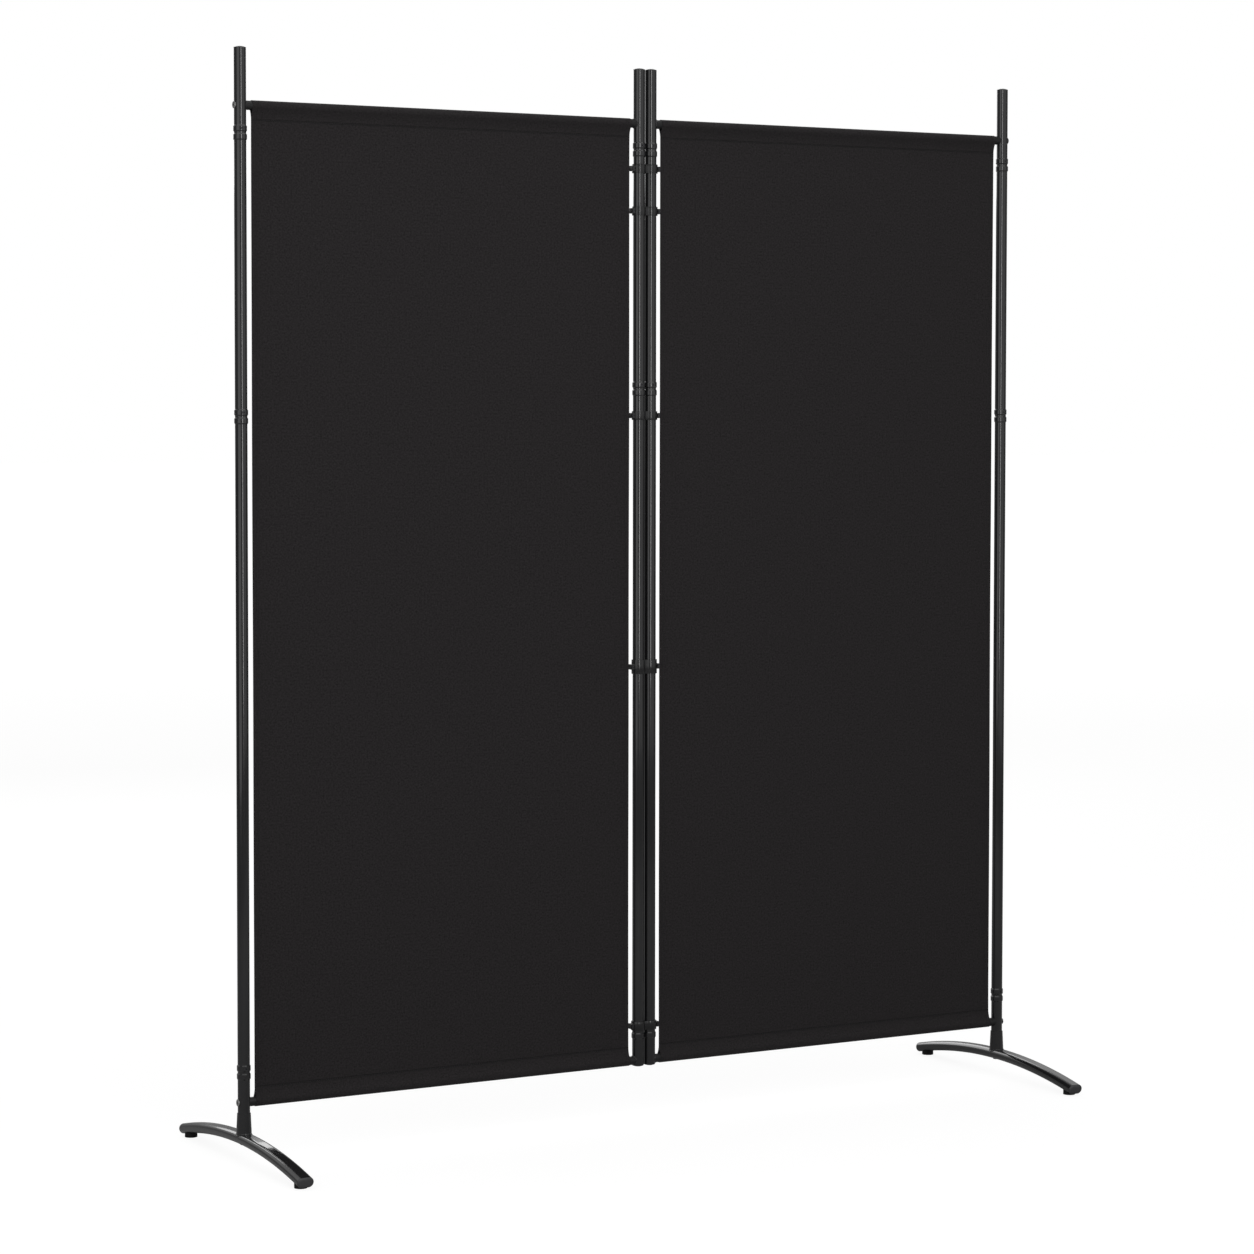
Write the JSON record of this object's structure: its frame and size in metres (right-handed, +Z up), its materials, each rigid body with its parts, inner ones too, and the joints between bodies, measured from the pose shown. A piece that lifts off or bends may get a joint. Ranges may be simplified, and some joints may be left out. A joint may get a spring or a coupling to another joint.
{
  "type": "folding room divider screen",
  "caption": "Free-standing folding room divider: fabric panels held on rails between round steel poles, clip hinges between the middle poles, and arched feet under the outer poles.",
  "frame": {"origin": "on the floor, midway between the two middle poles and midway along the feet", "axes": "+X runs along the opened panels to the right, -Y is the front, +Z is up"},
  "size_m": [1.5288, 0.4818, 1.8],
  "materials": {
    "powder_coat": "satin black powder coat on round steel tube",
    "gloss_coat": "gloss black powder coat on flat oval steel tube",
    "panel_cloth": "matt charcoal woven polyester",
    "clip_plastic": "moulded black nylon",
    "plug_plastic": "moulded black plastic, slight sheen",
    "cap_plastic": "moulded dark grey plastic",
    "glide_rubber": "matt black rubber",
    "bright_bolt": "nickel-plated flat head",
    "dark_fastener": "black-oxide steel"
  },
  "bodies": {
    "left_panel": {"left_outer_pole_top": "powder_coat", "left_outer_pole_upper": "powder_coat", "left_outer_pole_lower": "powder_coat", "left_outer_pole_bottom": "powder_coat", "left_inner_pole_top": "powder_coat", "left_inner_pole_upper": "powder_coat", "left_inner_pole_lower": "powder_coat", "left_inner_pole_bottom": "powder_coat", "left_outer_top_plug": "plug_plastic", "left_inner_top_plug": "plug_plastic", "left_inner_bottom_plug": "plug_plastic", "left_top_rail": "powder_coat", "left_bottom_rail": "powder_coat", "left_rail_bolts": "bright_bolt", "left_saddle_washers": "clip_plastic", "left_rail_nuts": "dark_fastener", "left_joint_screws": "dark_fastener", "left_fabric": "panel_cloth", "left_foot_arch": "gloss_coat", "left_foot_socket": "powder_coat", "left_foot_front_cap": "cap_plastic", "left_foot_rear_cap": "cap_plastic", "left_foot_front_glide": "glide_rubber", "left_foot_rear_glide": "glide_rubber", "left_foot_bolt": "dark_fastener", "left_foot_nut": "dark_fastener"},
    "hinge_clips": {"hinge_clip_1": "clip_plastic", "hinge_clip_2": "clip_plastic", "hinge_clip_3": "clip_plastic", "hinge_clip_4": "clip_plastic", "hinge_clip_5": "clip_plastic", "hinge_clip_screws": "dark_fastener", "hinge_clip_nuts": "dark_fastener"},
    "right_panel": {"right_inner_pole_top": "powder_coat", "right_inner_pole_upper": "powder_coat", "right_inner_pole_lower": "powder_coat", "right_inner_pole_bottom": "powder_coat", "right_outer_pole_top": "powder_coat", "right_outer_pole_upper": "powder_coat", "right_outer_pole_lower": "powder_coat", "right_outer_pole_bottom": "powder_coat", "right_inner_top_plug": "plug_plastic", "right_outer_top_plug": "plug_plastic", "right_inner_bottom_plug": "plug_plastic", "right_top_rail": "powder_coat", "right_bottom_rail": "powder_coat", "right_rail_bolts": "bright_bolt", "right_saddle_washers": "clip_plastic", "right_rail_nuts": "dark_fastener", "right_joint_screws": "dark_fastener", "right_fabric": "panel_cloth", "right_foot_arch": "gloss_coat", "right_foot_socket": "powder_coat", "right_foot_front_cap": "cap_plastic", "right_foot_rear_cap": "cap_plastic", "right_foot_front_glide": "glide_rubber", "right_foot_rear_glide": "glide_rubber", "right_foot_bolt": "dark_fastener", "right_foot_nut": "dark_fastener"}
  },
  "joints": [
    {"name": "left_fold", "type": "hinge", "parent": "left_panel", "child": "hinge_clips", "pos_m": [-0.0114, 0, 0], "axis": [0, 0, 1], "range_deg": [-70, 70]},
    {"name": "right_fold", "type": "hinge", "parent": "hinge_clips", "child": "right_panel", "pos_m": [0.0114, 0, 0], "axis": [0, 0, 1], "range_deg": [-70, 70]}
  ]
}
